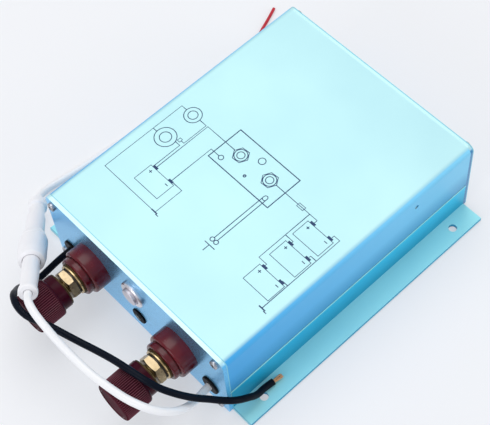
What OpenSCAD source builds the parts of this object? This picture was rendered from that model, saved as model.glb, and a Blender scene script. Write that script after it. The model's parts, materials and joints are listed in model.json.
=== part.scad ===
// Battery isolator relay: an extruded aluminium housing with two high-current
// terminals, a push button, a lamp, a ground wire and a cable to a remote switch.
// X runs to the right seen from the terminals, Y to the rear and Z up.
// The origin is the centre of the four mounting holes, on the underside.

/* [Enclosure] */
// Width of the housing between the flanges
body_w = 145; // [140:1:170]
// Length over the two end plates
body_l = 188; // [184:1:230]
// Height of the housing
body_h = 58; // [57:0.5:70]
// Height of the split between the two shells
split_h = 22; // [20:0.5:24]
// Wall of the extruded shells
wall_t = 2.5; // [2:0.1:3]
// Thickness of the end plates
plate_t = 2.5; // [2:0.1:3.5]
// Radius of the long top edges
edge_r = 4; // [3.2:0.1:6]
// Radius of the lower corners of the end plates
plate_corner_r = 1.2; // [0.5:0.1:2]
// Height of the dark groove along the split
groove_h = 0.9; // [0.6:0.1:1.5]
// Depth of the groove along the split
groove_d = 0.7; // [0.4:0.1:1]

/* [Mounting flanges] */
// Width of each flange beyond the wall
flange_w = 14; // [12:0.5:20]
// Thickness of the flanges
flange_t = 2.4; // [2:0.1:3.5]
// Distance of the mounting holes from the ends of the flanges
mount_inset = 16.5; // [10:0.5:40]
// Diameter of the mounting holes
mount_hole_d = 5; // [4:0.1:6]

/* [Terminals] */
// Distance of each terminal's axis from the grommet beside it
post_grommet_x = 23; // [21:0.5:25]
// Distance of the terminals below the middle of the housing
post_drop = 0.8; // [0:0.1:2]
// Diameter of the moulded drum
drum_d = 27.8; // [25:0.1:29]
// Length of the drum
drum_l = 9.9; // [8:0.1:12]
// Rounding of the drum's front edge
drum_edge_r = 1.5; // [0.8:0.1:2.5]
// Diameter of the waist behind the lip
waist_d = 22.2; // [20:0.1:22.5]
// Length of the waist
waist_l = 0.8; // [0.5:0.1:1.5]
// Diameter of the lip that carries the washers
lip_d = 23.6; // [23:0.1:25]
// Length of the lip
lip_l = 3.3; // [2.5:0.1:4.5]
// Diameter of the threaded stud
stud_d = 10; // [9:0.1:10.4]
// Reach of the stud in front of the panel
stud_out = 42; // [40:0.5:43]
// Reach of the stud behind the panel
stud_in = 20; // [18:0.5:22]
// Width of the hexagon nuts across the flats
nut_af = 16; // [15:0.1:17]
// Height of the nut on the front of each terminal
nut_h = 4.5; // [4:0.1:5]
// Height of the nut inside the housing
back_nut_h = 8; // [6:0.1:8.5]
// Diameter of the thin washer on the lip
thin_washer_d = 19.8; // [18:0.1:22]
// Thickness of the thin washer
thin_washer_t = 0.8; // [0.5:0.1:1]
// Diameter of the flat washer
flat_washer_d = 18.6; // [17:0.1:20]
// Thickness of the flat washer
flat_washer_t = 1.1; // [0.8:0.1:1.4]
// Diameter of the spring lock washer
lock_washer_d = 16.4; // [15:0.1:17]
// Thickness of the spring lock washer
lock_washer_t = 1.1; // [0.8:0.1:1.4]

/* [Terminal caps] */
// Open distance between the nut and the cap's washer, where a cable lug goes
lug_gap = 1.9; // [1.8:0.1:2.5]
// Diameter of the washer held on the cap
cap_washer_d = 20; // [18:0.1:21]
// Thickness of the washer held on the cap
cap_washer_t = 1; // [0.8:0.1:1.4]
// Diameter of the cap's neck
neck_d = 20.8; // [19:0.1:22]
// Length of the cap's neck
neck_l = 5.2; // [4:0.1:6]
// Diameter of the fluted grip
grip_d = 24.2; // [23.5:0.1:25]
// Length of the fluted grip
grip_l = 17.8; // [17:0.1:20]
// Number of flutes round the grip
flute_count = 48; // [36:1:56]
// Depth of the flutes
flute_depth = 0.55; // [0.3:0.05:0.7]
// Diameter of the brass insert in the cap
insert_d = 15; // [14:0.1:16]
// Length of the brass insert
insert_l = 13.5; // [12:0.1:14]

/* [Front panel] */
// Distance of the push button below the top
button_drop = 18; // [16.5:0.1:18.5]
// Diameter of the button's bezel
bezel_d = 17; // [16.6:0.1:18]
// Height of the bezel in front of the panel
bezel_h = 2.2; // [1.5:0.1:3]
// Diameter of the button's threaded body
button_body_d = 15.8; // [15:0.1:16]
// Length of the button's body behind the panel
button_body_l = 24; // [22:0.5:26]
// Diameter of the button's face
button_face_d = 10.7; // [10:0.1:11]
// Height of the button's face in front of the bezel
button_proud = 1.8; // [1.7:0.1:2.5]
// Travel of the button
button_travel = 1.5; // [1:0.1:1.6]
// Height of the lamp
lamp_z = 13.7; // [12:0.1:15]
// Diameter of the lamp's flange
lamp_d = 10.5; // [9:0.1:11]
// Diameter of the lamp's barrel
lamp_barrel_d = 8; // [7:0.1:8.5]
// Distance of the grommets from the housing's sides
grommet_inset = 13.5; // [13:0.1:14.5]
// Height of the grommets
grommet_z = 15.2; // [14:0.1:17]
// Outer diameter of the grommets
grommet_d = 12; // [11:0.1:13]

/* [Cords] */
// Diameter of the black ground wire
ground_d = 4; // [3.5:0.1:4.2]
// Diameter of the white switch cable
cable_d = 4.5; // [4:0.1:4.8]
// Diameter of the cores in the switch cable
core_d = 2; // [1.6:0.1:2.1]
// Diameter of the connector's two barrels
barrel_d = 9.9; // [9:0.1:10.2]
// Diameter of the connector's coupling ring
coupling_d = 16.3; // [15:0.1:17]

/* [Relay] */
// Diameter of the plunger in the coil
plunger_d = 15.8; // [14:0.1:16]
// Room between the coil's bobbin and the walls above and below it
coil_room = 6.5; // [6:0.1:7.5]
// Distance of the relay from the circuit board
relay_board_gap = 5.5; // [5:0.5:9]
// Travel of the plunger and the contact bridge
relay_travel = 2; // [1.5:0.1:2.2]
// Width of the copper bars
busbar_w = 20; // [19:0.5:22]
// Thickness of the copper bars
busbar_t = 3; // [2:0.1:3.2]

/* [Hidden] */
$fn = 64;
// Small circle steps, for edges and wires
edge_fn = 24;
// Extra reach of every cut
cut = 1;
// Radial room between fixed round pieces
seat = 0.06;
// Radial room of the cap's insert on the stud
thread_play = 0.05;
// Room between flat faces that move on each other
face_play = 0.1;

// Places that follow from the sizes above
front_y = -body_l / 2;
rear_y = body_l / 2;
shell_l = body_l - 2 * plate_t;
grommet_x = body_w / 2 - grommet_inset;
post_x = grommet_x - post_grommet_x;
post_z = body_h / 2 - post_drop;
button_z = body_h - button_drop;
stud_r = stud_d / 2;
stud_hole_r = stud_r + seat;
cap_radius = grip_d / 2;

// Shells
tongue_t = 1.8;
tongue_h = 3;
tongue_root_h = 2.6;
tongue_play = 0.15;
port_inset = 6;
port_drop = 5;
port_r = 3.5;
port_bore_r = 1.5;
port_root = 0.6;
rail_w = 3;
rail_t = 1.2;
board_z = 12;
board_t = 1.6;
board_play = 0.12;
side_hole_d = 3;
side_hole_y = 49;
side_hole_drop = 10.3;

// Panel screws
screw_head_r = 2.75;
screw_head_h = 2;
screw_edge_r = 0.9;
screw_shank_r = 1.42;
screw_l = 11;
screw_slot_l = 3.4;
screw_slot_w = 0.8;
screw_slot_depth = 1.1;

// Terminal stations, measured outwards from the panel
lip_front = drum_l + waist_l + lip_l;
thin_front = lip_front + thin_washer_t;
flat_front = thin_front + flat_washer_t;
nut_back = flat_front + lock_washer_t;
nut_front = nut_back + nut_h;
cap_washer_back = nut_front + lug_gap;
neck_back = cap_washer_back + cap_washer_t + face_play;
grip_back = neck_back + neck_l;
cap_end = grip_back + grip_l;
spigot_r = 7.9;
lip_edge_r = 1.1;
stud_chamfer = 1;
nut_turn = -3;
flat_up = 30;
nut_chamfer = 1.1;
insulator_t = 3;
insulator_d = 24;
lock_split_w = 1.4;
shoulder_l = 1.9;
shoulder_r = 1.2;
flute_run_out = 1.7;
cap_edge_r = 0.8;
cap_floor_t = 2.8;
cap_bore_r = stud_r + 3 * seat;
// Ridge, valley and flank widths of one flute, as parts of its pitch
flute_shares = [0, 0.38, 0.55, 0.83];

// Button
bezel_chamfer = 1;
button_play = 0.2;
button_disc_t = 2.6;
button_stem_r = 2.6;
button_collar_t = 1.5;
button_floor_t = 2;
button_edge_r = 0.5;
spring_well_r = 6.6;
button_nut_af = 19;
button_nut_h = 3;
block_w = 9;
block_h = 11;
block_l = 8;
blade_w = 4.8;
blade_t = 0.8;
blade_l = 6;
blade_pitch = 5;
button_spring_r = 4.2;
button_spring_wire_d = 0.6;
button_spring_turns = 6;
spring_steps = 10;
spring_end_gap = 0.15;

// Lamp
lamp_flange_h = 1;
lamp_edge_r = 0.5;
lamp_lens_r = 2.5;
lamp_lens_proud = 0.6;
lamp_lens_back = 6;
lamp_barrel_l = 12;
lamp_nut_af = 11;
lamp_nut_h = 2.5;

// Grommets
grommet_flange_t = 1.3;
grommet_edge_r = 0.6;
grommet_neck_r = 4.7;

// Connector, with stations from the mouth of its front barrel
mouth_point = [-35.7, -136.8, 48.9];
tail_point = [-101.6, -87.2, 8];
connector_run = tail_point - mouth_point;
connector_l = norm(connector_run);
mouth_ring_d = 11.3;
mouth_ring_l = 4;
tail_ring_d = 11.6;
tail_ring_l = 6;
ring_edge_r = 0.8;
cable_play = 0.35;
mouth_bore_r = cable_d / 2 + cable_play;
mouth_bore_l = 9;
coupling_front = 25;
coupling_band = 36;
coupling_band_end = 46;
coupling_rear = 58;
coupling_lip_t = 0.7;
coupling_play = 0.3;
coupling_joint = 41;
joint_gap = 0.5;
collar_stop_r = 6.4;
collar_stop_l = 3;
coupling_wall = 1.2;

// Relay parts, with stations along Y from the bobbin's front
bobbin_y = -9;
relay_z = post_z;
yoke_plate_t = 3;
yoke_w = 44;
yoke_room = 5;
foot_w = 64;
foot_t = 2;
foot_hole_inset = 4;
foot_hole_end = 7;
foot_screw_r = 2;
foot_screw_head_r = 3.4;
foot_screw_head_h = 2.2;
core_l = 17;
rod_r = 3;
rod_play = 0.3;
plunger_play = 0.3;
core_play = 0.3;
plunger_gap = relay_travel + core_play;
contact_gap = relay_travel + face_play;
pocket_r = 6.2;
pocket_l = 10;
plunger_tail = 4;
bobbin_wall = 1.5;
flange_disc_t = 1.5;
winding_inset = 1.5;
winding_edge_r = 1.2;
rod_collar_r = 5;
rod_collar_l = 2;
rod_nut_af = 8;
rod_nut_h = 2.6;
bridge_w = 60;
bridge_h = 12;
bridge_t = 3;
contact_x = 22;
contact_r = 4.5;
contact_t = 1.5;
fixed_contact_y = -39.5;
busbar_out = 18;
busbar_bend_r = 4;
busbar_inner_x = 16;
return_spring_r = 4.9;
return_spring_wire_d = 0.9;
return_spring_turns = 5;

// Circuit board
board_l = 36;
board_rear_gap = 5;
board_side_play = 0.6;
pin_gap = 0.05;
board_rear = rear_y - plate_t - board_rear_gap;
board_front = board_rear - board_l;
board_w = body_w - 2 * wall_t - 2 * board_side_play;
board_top = board_z + board_t;

// Routes of the cords, chosen by hand
ground_route = [
  [-59, -88.5, 15.2], [-59, -96.4, 15.2], [-59.8, -104.9, 13.2], [-60.2, -112.5, 11.1],
  [-59.9, -118.6, 10.8], [-59.6, -124, 12.8], [-58.4, -129, 17.4],
  [-55.4, -133.4, 24.4], [-50.2, -138, 33.1], [-46, -141, 39.1], [-41.7, -143.1, 42.1],
  [-36.8, -144.6, 43.4], [-31, -144.9, 43.8], [-25.4, -143.7, 43.6], [-20.4, -141.2, 43],
  [-14.2, -138.7, 41.9], [-6.9, -136.1, 40.5], [1.6, -133.2, 39.5],
  [13.9, -129.6, 40.2], [26, -127, 42.2], [36, -125.2, 43], [44, -123.2, 42.2],
  [50.5, -120.4, 39.2], [55.8, -116.6, 35.6], [60.2, -112.4, 31.8],
  [64.4, -107.7, 28.2], [68.6, -102.3, 24.9], [72.6, -97.5, 22.2], [76.4, -91.8, 19.4],
  [78.2, -85, 14.8], [78.2, -78.4, 8.6], [77, -72, 5], [77.4, -66, 4.6]];
ground_bare_route = [[77.4, -65.8, 4.6], [77.8, -59.5, 4.2]];
inner_route = [
  [59, -88.5, 15.2], [59, -97, 15.2], [59.8, -102.5, 15.9], [61.1, -107.1, 18.3],
  [62.8, -112.6, 23.2], [63.5, -117.3, 27.7], [63.5, -121.6, 32.2],
  [62.3, -125.6, 36.4], [60, -129.4, 40], [56.4, -132.6, 42.3], [51.8, -134.9, 43.1],
  [44.8, -137.3, 43.4], [37.4, -138.9, 43.3], [29, -140.2, 43], [20.6, -141.3, 42.8],
  [11.8, -141.9, 43.4], [4, -142.3, 44.7], [-3.5, -142.6, 46.7], [-11, -142.6, 49.2],
  [-18, -142.4, 51.2], [-24.6, -141.6, 52.4], [-30.4, -139.9, 51.9]];
outer_route = [
  [-104.8, -84.8, 6.1], [-107.2, -81.6, 4.3], [-108.5, -77.4, 3.1], [-108.5, -71, 2.4],
  [-107.2, -61, 2.3], [-105.7, -48, 2.3], [-104.5, -35, 2.3], [-102.9, -21, 2.3],
  [-100.6, -7, 2.3], [-98, 6, 2.3], [-96, 19, 2.3], [-95.2, 32, 2.3], [-95.3, 45, 2.3],
  [-96.1, 58, 2.3], [-97.3, 69, 2.3], [-98.6, 79, 2.3]];
red_core_route = [
  [-98.9, 79.4, 3.3], [-100.4, 84.5, 1.9], [-102.8, 91, 1.1], [-106, 98.7, 1.1],
  [-109.3, 107.1, 1.1], [-113.1, 116, 1.1]];
black_core_route = [
  [-98.2, 79.5, 1.1], [-96.8, 85, 1.1], [-94, 92, 1.1], [-90.9, 98.8, 1.1],
  [-87.4, 107.6, 1.1]];
lead_in = 5;
wire_sides = 8;
cable_sides = 10;

// Thin wires inside the housing
inner_wire_d = 2;
wire_gap = 0.3;
wire_lead = 8;
wire_lift = 3.4;
tray_z = 6.5;
pair_pitch = 2.6;
lamp_tray_x = 40;
coil_wire_y = 32;
button_wire_x = 34;
button_wire_drop = 9;

// Places a piece on the front panel, with its own Z pointing out of the panel
module on_front(x, z) {
  translate([x, front_y, z]) rotate([90, 0, 0]) children();
}

// Places a piece on the rear panel, with its own Z pointing out of the panel
module on_rear(x, z) {
  translate([x, rear_y, z]) rotate([-90, 0, 0]) children();
}

// Turned disc with a rounded front edge
module rounded_disc(r, h, edge) {
  rotate_extrude() {
    square([r - edge, h]);
    square([r, h - edge]);
    intersection() {
      translate([r - edge, h - edge]) circle(edge, $fn = edge_fn);
      square([r, h]);
    }
  }
}

// Flat ring
module ring(r_out, r_in, h) {
  difference() {
    cylinder(r = r_out, h = h);
    translate([0, 0, -cut]) cylinder(r = r_in, h = h + 2 * cut);
  }
}

// Hexagon nut with chamfered corners
module hex_nut(af, h, bore_r, chamfer, turn) {
  corner_r = af / 2 / cos(30);
  difference() {
    intersection() {
      rotate([0, 0, turn]) cylinder(r = corner_r, h = h, $fn = 6);
      rotate_extrude() polygon([
        [0, 0], [corner_r - chamfer, 0], [corner_r, chamfer / 2],
        [corner_r, h - chamfer / 2], [corner_r - chamfer, h], [0, h]]);
    }
    translate([0, 0, -cut]) cylinder(r = bore_r, h = h + 2 * cut);
  }
}

// Unit vector
function unit(v) = v / norm(v);

// Direction of a route at one of its points
function heading(route, i) =
  unit(route[min(i + 1, len(route) - 1)] - route[max(i - 1, 0)]);

// Round tube swept along a route, with rings square to it
module tube(route, r, sides, up = [0, 0, 1]) {
  last = len(route) - 1;
  points = [for (i = [0 : last])
    let (t = heading(route, i), a = unit(cross(up, t)), b = cross(t, a))
    for (k = [0 : sides - 1])
      route[i] + r * (cos(360 * k / sides) * a + sin(360 * k / sides) * b)];
  walls = [for (i = [0 : last - 1]) for (k = [0 : sides - 1])
    let (n = (k + 1) % sides)
    each [
      [i * sides + k, (i + 1) * sides + k, (i + 1) * sides + n],
      [i * sides + k, (i + 1) * sides + n, i * sides + n]]];
  ends = [
    [for (k = [0 : sides - 1]) k],
    [for (k = [sides - 1 : -1 : 0]) last * sides + k]];
  polyhedron(points, concat(walls, ends));
}

// Compression spring along its own Z, with its end turns inside its length
module spring(r, wire_d, length, turns) {
  steps = turns * spring_steps;
  rise = length - wire_d;
  tube([for (i = [0 : steps])
    [r * cos(360 * i / spring_steps), r * sin(360 * i / spring_steps),
     wire_d / 2 + rise * i / steps]],
    wire_d / 2, 6);
}

// Outline with rounded upper corners, standing on its X axis
module arched(w, h, r) {
  translate([-w / 2, 0]) square([w, h - r]);
  translate([r - w / 2, 0]) square([w - 2 * r, h]);
  for (side = [-1, 1])
    translate([side * (w / 2 - r), h - r]) circle(r);
}

// Extrudes a section along the housing
module along_body() {
  translate([0, shell_l / 2, 0]) rotate([90, 0, 0])
    linear_extrude(shell_l) children();
}

port_x = body_w / 2 - port_inset;
port_top_z = body_h - port_drop;

module upper_shell() {
  tongue_x = body_w / 2 - wall_t - tongue_play - tongue_t;
  inner_top = body_h - wall_t;
  color("powderblue") difference() {
    along_body() difference() {
      union() {
        difference() {
          translate([0, split_h]) arched(body_w, body_h - split_h, edge_r);
          translate([0, split_h - cut])
            arched(body_w - 2 * wall_t, inner_top - split_h + cut, edge_r - wall_t / 2);
        }
        for (side = [-1, 1]) scale([side, 1]) {
          translate([tongue_x, split_h - tongue_h])
            square([tongue_t, tongue_h + tongue_root_h]);
          translate([tongue_x, split_h])
            square([tongue_t + tongue_play + wall_t / 2, tongue_root_h]);
          translate([port_x, port_top_z]) circle(port_r);
          translate([port_x, port_top_z])
            square([port_inset - wall_t + port_root, port_drop - wall_t + port_root]);
        }
      }
      for (side = [-1, 1]) scale([side, 1]) {
        translate([port_x, port_top_z]) circle(port_bore_r);
        translate([body_w / 2 - groove_d, split_h - cut])
          square([groove_d + cut, groove_h + cut]);
      }
    }
    translate([body_w / 2 - 2 * wall_t, side_hole_y, body_h - side_hole_drop])
      rotate([0, 90, 0]) cylinder(d = side_hole_d, h = 3 * wall_t);
  }
}

module lower_shell() {
  rail_top_z = board_z + board_t + board_play;
  color("skyblue") difference() {
    along_body() difference() {
      union() {
        difference() {
          translate([-body_w / 2, 0]) square([body_w, split_h]);
          translate([wall_t - body_w / 2, wall_t])
            square([body_w - 2 * wall_t, split_h]);
        }
        translate([-body_w / 2 - flange_w, 0])
          square([body_w + 2 * flange_w, flange_t]);
        for (side = [-1, 1]) scale([side, 1]) {
          for (z = [board_z - board_play - rail_t, rail_top_z])
            translate([body_w / 2 - wall_t - rail_w, z])
              square([rail_w + wall_t / 2, rail_t]);
          translate([port_x, port_drop]) circle(port_r);
          translate([port_x, wall_t / 2])
            square([port_inset - wall_t / 2, port_drop - wall_t / 2]);
        }
      }
      for (side = [-1, 1])
        translate([side * port_x, port_drop]) circle(port_bore_r);
    }
    for (x = [-1, 1]) for (y = [-1, 1])
      translate([x * (body_w + flange_w) / 2, y * (shell_l / 2 - mount_inset), -cut])
        cylinder(d = mount_hole_d, h = flange_t + 2 * cut);
    for (x = [-1, 1]) for (y = foot_hole_ys)
      translate([x * foot_hole_x, y, -cut])
        cylinder(r = foot_screw_r - seat, h = wall_t + 2 * cut);
  }
}

// Blank of an end plate with its screw holes, lying on its back
module end_plate() {
  linear_extrude(plate_t) difference() {
    intersection() {
      arched(body_w, body_h, edge_r);
      translate([0, body_h]) scale([1, -1])
        arched(body_w, body_h, plate_corner_r);
    }
    for (side = [-1, 1]) for (z = [port_drop, port_top_z])
      translate([side * port_x, z]) circle(screw_shank_r + 3 * seat);
  }
}

module front_plate() {
  color("lightskyblue") difference() {
    on_front(0, 0) translate([0, 0, -plate_t]) end_plate();
    for (side = [-1, 1]) {
      on_front(side * post_x, post_z) panel_hole(spigot_r + seat);
      on_front(side * grommet_x, grommet_z) panel_hole(grommet_neck_r + seat);
    }
    on_front(0, button_z) panel_hole(button_body_d / 2 + seat);
    on_front(0, lamp_z) panel_hole(lamp_barrel_d / 2 + seat);
  }
}

// Cut for a hole through the front panel
module panel_hole(r) {
  translate([0, 0, -plate_t - cut]) cylinder(r = r, h = plate_t + 2 * cut);
}

module rear_plate() {
  color("lightskyblue") translate([0, rear_y, 0]) rotate([90, 0, 0]) end_plate();
}

// Pan head screw with a cross recess, its head on the panel
module panel_screw() {
  difference() {
    union() {
      rounded_disc(screw_head_r, screw_head_h, screw_edge_r);
      translate([0, 0, -screw_l]) cylinder(r = screw_shank_r, h = screw_l + screw_head_h / 2);
    }
    for (a = [0, 90]) rotate([0, 0, a])
      translate([-screw_slot_l / 2, -screw_slot_w / 2, screw_head_h - screw_slot_depth])
        cube([screw_slot_l, screw_slot_w, screw_slot_depth + cut]);
  }
}

module front_plate_screws() {
  color("silver") for (side = [-1, 1]) for (z = [port_drop, port_top_z])
    on_front(side * port_x, z) panel_screw();
}

module rear_plate_screws() {
  color("silver") for (side = [-1, 1]) for (z = [port_drop, port_top_z])
    on_rear(side * port_x, z) panel_screw();
}

// Moulded drum with a lip in front and a spigot through the panel
module post_base(x) {
  waist_from = drum_l / 2;
  color("maroon") on_front(x, post_z) difference() {
    union() {
      rounded_disc(drum_d / 2, drum_l, drum_edge_r);
      translate([0, 0, waist_from])
        cylinder(d = waist_d, h = lip_front - lip_l / 2 - waist_from);
      translate([0, 0, drum_l + waist_l])
        rounded_disc(lip_d / 2, lip_l, lip_edge_r);
      translate([0, 0, -plate_t]) cylinder(r = spigot_r, h = 2 * plate_t);
    }
    translate([0, 0, -plate_t - cut])
      cylinder(r = stud_hole_r, h = plate_t + lip_front + 2 * cut);
  }
}

module rear_insulator(x) {
  color("maroon") on_front(x, post_z) translate([0, 0, -plate_t - insulator_t])
    ring(insulator_d / 2, stud_hole_r, insulator_t);
}

module stud(x) {
  length = stud_in + stud_out;
  color("goldenrod") on_front(x, post_z) translate([0, 0, -stud_in])
    rotate_extrude() polygon([
      [0, 0], [stud_r - stud_chamfer, 0], [stud_r, stud_chamfer],
      [stud_r, length - stud_chamfer], [stud_r - stud_chamfer, length], [0, length]]);
}

module thin_washer(x) {
  color("darkgoldenrod") on_front(x, post_z) translate([0, 0, lip_front])
    ring(thin_washer_d / 2, stud_hole_r, thin_washer_t);
}

module flat_washer(x) {
  color("gold") on_front(x, post_z) translate([0, 0, thin_front])
    ring(flat_washer_d / 2, stud_hole_r, flat_washer_t);
}

module lock_washer(x) {
  color("dimgray") on_front(x, post_z) translate([0, 0, flat_front]) difference() {
    ring(lock_washer_d / 2, stud_hole_r, lock_washer_t);
    translate([0, -lock_split_w / 2, -cut])
      cube([lock_washer_d, lock_split_w, lock_washer_t + 2 * cut]);
  }
}

module post_nut(x) {
  color("gold") on_front(x, post_z) translate([0, 0, nut_back])
    hex_nut(nut_af, nut_h, stud_hole_r, nut_chamfer, nut_turn);
}

module back_nut(x) {
  seat_y = plate_t + insulator_t + busbar_t;
  color("gold") on_front(x, post_z) translate([0, 0, -seat_y - back_nut_h])
    hex_nut(nut_af, back_nut_h, stud_hole_r, nut_chamfer, 0);
}

module cap_washer(x) {
  color("gold") on_front(x, post_z) translate([0, 0, cap_washer_back])
    ring(cap_washer_d / 2, stud_hole_r + 2 * seat, cap_washer_t);
}

// Straight flutes of the grip, as one section
module fluted_section() {
  ridge = cap_radius - seat;
  valley = cap_radius - flute_depth;
  polygon([for (i = [0 : flute_count - 1]) for (k = [0 : 3])
    let (r = k < 2 ? ridge : valley, a = 360 * (i + flute_shares[k]) / flute_count)
    [r * cos(a), r * sin(a)]]);
}

module cap(x) {
  flutes_from = grip_back + shoulder_l;
  color("darkred") on_front(x, post_z) difference() {
    union() {
      translate([0, 0, neck_back]) cylinder(d = neck_d, h = neck_l + shoulder_l / 2);
      translate([0, 0, flutes_from]) rotate([180, 0, 0])
        rounded_disc(cap_radius, shoulder_l, shoulder_r);
      translate([0, 0, flutes_from - shoulder_r / 2])
        linear_extrude(cap_end - flute_run_out / 2 - flutes_from + shoulder_r / 2)
          fluted_section();
      translate([0, 0, cap_end - flute_run_out])
        rounded_disc(cap_radius, flute_run_out, cap_edge_r);
    }
    translate([0, 0, neck_back - cut]) cylinder(d = insert_d, h = insert_l + cut);
    translate([0, 0, neck_back])
      cylinder(r = cap_bore_r, h = cap_end - cap_floor_t - neck_back);
  }
}

module cap_insert(x) {
  color("goldenrod") on_front(x, post_z) translate([0, 0, neck_back])
    ring(insert_d / 2 - seat, stud_r + thread_play, insert_l);
}

// Bezel and threaded barrel of the push button, open at the front
module button_housing() {
  bezel_r = bezel_d / 2;
  well_l = button_body_l - button_floor_t;
  color("silver") on_front(0, button_z) difference() {
    union() {
      rotate_extrude() polygon([
        [0, 0], [bezel_r, 0], [bezel_r, bezel_h - bezel_chamfer],
        [bezel_r - bezel_chamfer, bezel_h], [0, bezel_h]]);
      translate([0, 0, -button_body_l])
        cylinder(d = button_body_d, h = button_body_l + bezel_h / 2);
    }
    translate([0, 0, -well_l])
      cylinder(r = button_face_d / 2 + button_play, h = well_l + bezel_h + cut);
    translate([0, 0, -well_l]) cylinder(r = spring_well_r, h = well_l - button_disc_t);
    translate([0, 0, -button_body_l - cut])
      cylinder(r = button_stem_r + button_play, h = button_floor_t + 2 * cut);
  }
}

button_front = bezel_h + button_proud;
button_back = -button_disc_t - face_play - button_collar_t;

// Face of the button, its collar under the bezel and the stem that works the contacts
module button_cap() {
  disc_l = button_front - button_back;
  stem_end = button_travel + face_play - button_body_l;
  color("lightgray") on_front(0, button_z) {
    translate([0, 0, button_back]) {
      rounded_disc(button_face_d / 2, disc_l, button_edge_r);
      cylinder(r = spring_well_r - button_play, h = button_collar_t);
    }
    translate([0, 0, stem_end])
      cylinder(r = button_stem_r, h = button_back - stem_end + disc_l / 2);
  }
}

module button_spring() {
  floor_d = button_floor_t - button_body_l;
  color("silver") on_front(0, button_z) translate([0, 0, floor_d + spring_end_gap])
    spring(button_spring_r, button_spring_wire_d,
      button_back - floor_d - 2 * spring_end_gap, button_spring_turns);
}

module button_nut() {
  color("silver") on_front(0, button_z) translate([0, 0, -plate_t - button_nut_h])
    hex_nut(button_nut_af, button_nut_h, button_body_d / 2 + seat, nut_chamfer, flat_up);
}

// Contact block behind the button, with two solder blades
module button_switch_block() {
  color("black") on_front(0, button_z) {
    translate([-block_w / 2, -block_h / 2, -button_body_l - block_l])
      cube([block_w, block_h, block_l]);
    for (side = [-1, 1])
      translate([-blade_w / 2, side * blade_pitch / 2 - blade_t / 2,
        -button_body_l - block_l - blade_l])
        cube([blade_w, blade_t, blade_l + block_l / 2]);
  }
}

module lamp_holder() {
  bore_r = lamp_lens_r + seat;
  color("black") on_front(0, lamp_z) difference() {
    union() {
      rounded_disc(lamp_d / 2, lamp_flange_h, lamp_edge_r);
      translate([0, 0, -lamp_barrel_l])
        cylinder(d = lamp_barrel_d, h = lamp_barrel_l + lamp_flange_h / 2);
    }
    translate([0, 0, -lamp_lens_back - seat])
      cylinder(r = bore_r, h = lamp_lens_back + lamp_flange_h + cut);
  }
}

module lamp_lens() {
  color("darkgreen") on_front(0, lamp_z) translate([0, 0, -lamp_lens_back])
    rounded_disc(lamp_lens_r, lamp_lens_back + lamp_flange_h + lamp_lens_proud,
      lamp_lens_r / 2);
}

module lamp_nut() {
  color("black") on_front(0, lamp_z) translate([0, 0, -plate_t - lamp_nut_h])
    hex_nut(lamp_nut_af, lamp_nut_h, lamp_barrel_d / 2 + seat, lamp_edge_r, 0);
}

// Rubber grommet that grips both sides of the panel
module grommet(x, bore_r) {
  color("black") on_front(x, grommet_z) difference() {
    union() {
      rounded_disc(grommet_d / 2, grommet_flange_t, grommet_edge_r);
      translate([0, 0, -plate_t - grommet_flange_t / 2])
        cylinder(r = grommet_neck_r, h = plate_t + grommet_flange_t);
      translate([0, 0, -plate_t]) rotate([180, 0, 0])
        rounded_disc(grommet_d / 2, grommet_flange_t, grommet_edge_r);
    }
    translate([0, 0, -plate_t - grommet_flange_t - cut])
      cylinder(r = bore_r, h = plate_t + 2 * grommet_flange_t + 2 * cut);
  }
}

module ground_wire() {
  color("black") tube(ground_route, ground_d / 2, wire_sides);
}

module ground_wire_end() {
  color("peru") tube(ground_bare_route, ground_d / 3, wire_sides);
}

// Point on the connector's axis, a distance from its mouth
function on_connector(s) = mouth_point + s * connector_run / connector_l;

// Places a piece on the connector's axis, with its own Z towards the tail
module along_connector(s) {
  translate(on_connector(s))
    rotate([0, acos(connector_run.z / connector_l), atan2(connector_run.y, connector_run.x)])
      children();
}

module switch_cable_inner() {
  color("whitesmoke")
    tube(concat(inner_route, [on_connector(0), on_connector(lead_in)]),
      cable_d / 2, cable_sides);
}

module switch_cable_outer() {
  color("whitesmoke")
    tube(concat([on_connector(connector_l - lead_in), on_connector(connector_l)], outer_route),
      cable_d / 2, cable_sides);
}

// One barrel of the connector, open for its cable, its stop ring inside the coupling
module connector_barrel(length, ring_d, ring_l) {
  difference() {
    union() {
      translate([0, 0, ring_l]) rotate([180, 0, 0])
        rounded_disc(ring_d / 2, ring_l, ring_edge_r);
      cylinder(d = barrel_d, h = length);
      translate([0, 0, length - collar_stop_l]) cylinder(r = collar_stop_r, h = collar_stop_l);
    }
    translate([0, 0, -cut]) cylinder(r = mouth_bore_r, h = mouth_bore_l + cut);
  }
}

module connector_socket() {
  color("white") along_connector(0)
    connector_barrel(coupling_joint - joint_gap / 2, mouth_ring_d, mouth_ring_l);
}

module connector_plug() {
  color("white") along_connector(connector_l) rotate([180, 0, 0])
    connector_barrel(connector_l - coupling_joint - joint_gap / 2, tail_ring_d, tail_ring_l);
}

// Coupling ring round the joint of the two barrels
module connector_ring() {
  coupling_r = coupling_d / 2;
  mouth_r = barrel_d / 2 + coupling_play;
  lip_r = mouth_r + coupling_lip_t;
  well_from = coupling_joint - collar_stop_l - joint_gap - coupling_play;
  well_to = coupling_joint + collar_stop_l + joint_gap + coupling_play;
  color("white") along_connector(0) difference() {
    rotate_extrude() polygon([
      [0, coupling_front], [lip_r, coupling_front], [coupling_r, coupling_band],
      [coupling_r, coupling_band_end], [lip_r, coupling_rear], [0, coupling_rear]]);
    translate([0, 0, coupling_front - cut])
      cylinder(r = mouth_r, h = coupling_rear - coupling_front + 2 * cut);
    translate([0, 0, well_from])
      cylinder(r = collar_stop_r + coupling_play, h = well_to - well_from);
  }
}

module red_core() {
  color("red") tube(red_core_route, core_d / 2, wire_sides);
}

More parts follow.
